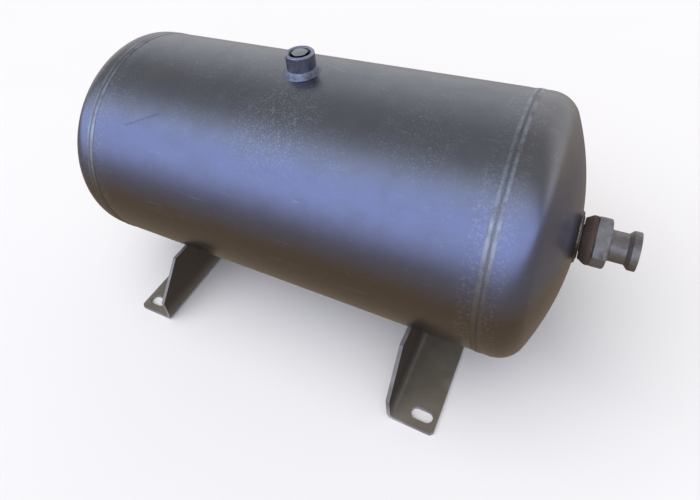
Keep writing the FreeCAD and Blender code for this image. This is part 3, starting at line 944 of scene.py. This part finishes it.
def foot_sheet():
    """The outer skin of the bent plate, as flat outlines joined along the bend."""
    y_end = foot_high.y
    web_x = foot_low.x
    top = foot_high.z
    saddle_half = math.sqrt(tank_radius ** 2 - (tank_axis - top) ** 2)
    saddle_turn = math.asin(saddle_half / tank_radius)
    saddle = [(web_x, tank_radius * math.sin(t), tank_axis - tank_radius * math.cos(t))
              for t in np.linspace(saddle_turn, -saddle_turn, 49)]
    bend = [(web_x + bend_outside * (1 - math.cos(t)), bend_outside * (1 - math.sin(t)))
            for t in np.linspace(0, math.pi / 2, 9)]
    web = [(web_x, -y_end, bend_outside), (web_x, y_end, bend_outside),
           (web_x, y_end, web_end_height), (web_x, web_top_half, top)]
    web += saddle + [(web_x, -web_top_half, top), (web_x, -y_end, web_end_height)]
    outlines = [web]
    for (x0, z0), (x1, z1) in zip(bend, bend[1:]):
        outlines.append([(x0, -y_end, z0), (x1, -y_end, z1), (x1, y_end, z1), (x0, y_end, z0)])
    for half in (-1, 1):
        edge_x = web_x + bend_outside if half < 0 else foot_high.x
        clip = 0.0 if half < 0 else flange_corner
        row = [(edge_x - clip, -y_end, 0), (slot_centre_x, -y_end, 0)]
        for centre in (-slot_centre_y, slot_centre_y):
            row.append((slot_centre_x, centre - slot_radius, 0))
            for t in np.linspace(-math.pi / 2, math.pi / 2, 17):
                row.append((slot_centre_x + half * (slot_half_straight + slot_radius * math.cos(t)),
                            centre + slot_radius * math.sin(t), 0))
            row.append((slot_centre_x, centre + slot_radius, 0))
        row += [(slot_centre_x, y_end, 0), (edge_x - clip, y_end, 0)]
        if clip:
            row += [(edge_x, y_end - clip, 0), (edge_x, -y_end + clip, 0)]
        outlines.append(row)
    sheet = bmesh.new()
    for outline in outlines:
        sheet.faces.new([sheet.verts.new(p) for p in outline])
    bmesh.ops.remove_doubles(sheet, verts=sheet.verts, dist=0.00001)
    bmesh.ops.recalc_face_normals(sheet, faces=sheet.faces)
    return sheet


def evened(piece):
    """Keeps the shading of broad flats flat beside their small rounded edges."""
    even = piece.modifiers.new("even", "WEIGHTED_NORMAL")
    even.keep_sharp = True
    bpy.context.view_layer.update()
    seen = piece.evaluated_get(bpy.context.evaluated_depsgraph_get())
    mesh = bpy.data.meshes.new_from_object(seen)
    piece.modifiers.clear()
    piece.data = mesh
    mesh.name = piece.name
    return piece


def foot(name, mirror):
    sheet = foot_sheet()
    sheet.faces.ensure_lookup_table()
    if sheet.faces[0].normal.x > 0:
        bmesh.ops.reverse_faces(sheet, faces=sheet.faces)
    maker = bpy.data.objects.new(name + "_sheet", bpy.data.meshes.new(name + "_sheet"))
    sheet.to_mesh(maker.data)
    sheet.free()
    bpy.context.scene.collection.objects.link(maker)
    maker.data.materials.append(plate_skin)
    maker.data.materials.append(cut_edge)
    wall = maker.modifiers.new("plate", "SOLIDIFY")
    wall.thickness = plate
    wall.offset = -1
    wall.use_even_offset = True
    wall.material_offset_rim = 1
    edge = maker.modifiers.new("edge", "BEVEL")
    edge.width = foot_edge
    edge.segments = 2
    edge.limit_method = "ANGLE"
    edge.angle_limit = math.radians(40)
    place = to_left if mirror else None
    return evened(settled(maker, name, 50.0, place))


for name, mirror in (("right_foot", False), ("left_foot", True)):
    fitted(foot(name + "_angle", mirror), "bare_plate", name)


# --- Foot welds ----------------------------------------------------------------------
# Weld metal, like the other beads. A small hand-laid fillet on each side of the web holds
# its saddle to the tank, from one level shoulder of the web to the other.

foot_weld_leg = 0.003
foot_weld_turn = math.acos((tank_axis - foot_high.z) / tank_radius) - 0.02
foot_weld_metal = weld_metal("foot_weld_metal", (0.26, 0.25, 0.26, 1), (0.15, 0.12, 0.10, 1), 55.0)
for end, end_name in ((1, "right"), (-1, "left")):
    for face_x, face_out, which in ((foot_low.x, -1, "inner"), (foot_low.x + plate, 1, "outer")):
        path, ways = [], []
        for t in np.linspace(-foot_weld_turn, foot_weld_turn, 64):
            shell_out = Vector((0, math.sin(t), -math.cos(t)))
            way = (shell_out + Vector((end * face_out, 0, 0))).normalized()
            root = Vector((end * face_x, 0, tank_axis)) + shell_out * tank_radius
            path.append(root + way * foot_weld_leg * 0.66)
            ways.append(way)
        node = f"{end_name}_foot_{which}_weld"
        bead = weld(node + "_bead", path, ways, False, foot_weld_metal, Seed=31 + end + face_out,
                    Width=foot_weld_leg * 1.5, Height=foot_weld_leg * 0.14,
                    Root=foot_weld_leg * 0.7, Unevenness=0.7,
                    **{"Ripple Pitch": 0.002, "Ripple Depth": 0.00025})
        fitted(bead, "weld_bead", node)


# --- Studio --------------------------------------------------------------------------
# A pale floor in a plain soft studio, the same all along the tank: a cool lamp in front, a
# dim ceiling, a pale wall behind and dull ground, in degrees round the tank, where 0 is
# level in front and 90 overhead. A broad soft lamp overhead fills the floor and the feet.

soft_lamp = (0.9, 1.0, 1.3)
pale_wall = (0.7, 0.7, 0.7)
dim_ceiling = (0.3, 0.3, 0.3)
dull_ground = (0.3, 0.25, 0.2)
ROOM = [(-180, pale_wall), (-150, dull_ground), (-15, dull_ground), (15, soft_lamp),
        (50, soft_lamp), (80, dim_ceiling), (110, dim_ceiling), (150, pale_wall),
        (180, pale_wall)]

world = bpy.data.worlds.new("studio")
bpy.context.scene.world = world
world.use_nodes = True
world.node_tree.nodes.clear()
bench = Bench(world.node_tree)
_, back, up = bench.parts(bench.add("ShaderNodeTexCoord", {}, {}, "Generated"))
turn = bench.sum("ARCTAN2", up, 0.0 - back) / math.tau + 0.5
stops = [((degrees + 180) / 360, colour) for degrees, colour in ROOM]
light = bench.add("ShaderNodeValToRGB", {"stops": stops}, {0: turn}, "Color")
backdrop = (0.93, 0.93, 0.93, 1)
seen = bench.mixed(bench.add("ShaderNodeLightPath"), light, backdrop)
glow = bench.add("ShaderNodeBackground", {}, {"Color": seen, "Strength": 1.0})
bench.add("ShaderNodeOutputWorld", {}, {"Surface": glow})

floor_half = 30
floor = object_of("floor", [(-floor_half, -floor_half, 0), (floor_half, -floor_half, 0),
                            (floor_half, floor_half, 0), (-floor_half, floor_half, 0)], [],
                  [(0, 1, 2, 3)])
paper, bench, place = finish_bench("floor_paper")
tone = bench.mixed(bench.cloud(place, 3.0), (0.82, 0.79, 0.76, 1), (0.84, 0.81, 0.78, 1))
coat(bench, tone, 0.9, 0.0)
floor.data.materials.append(paper)
floor.visible_glossy = False

lamp = bpy.data.lights.new("overhead", "SUN")
lamp.energy = 2.2
lamp.angle = math.radians(70)
lamp_object = bpy.data.objects.new("overhead", lamp)
lamp_object.rotation_euler = (math.radians(18), math.radians(-12), 0)
lamp_object.visible_glossy = False
bpy.context.scene.collection.objects.link(lamp_object)

camera = bpy.data.cameras.new("camera")
camera.lens = 27.813
camera.sensor_width = 36
camera.shift_x = 0.0313
camera.shift_y = -0.1324
camera_object = bpy.data.objects.new("camera", camera)
camera_object.location = (0.2611, -0.3877, 0.5381)
camera_object.rotation_mode = "XYZ"
camera_object.rotation_euler = (math.radians(51.936), math.radians(5.889), math.radians(27.658))
bpy.context.scene.collection.objects.link(camera_object)
bpy.context.scene.camera = camera_object
bpy.context.scene.view_settings.view_transform = "Standard"
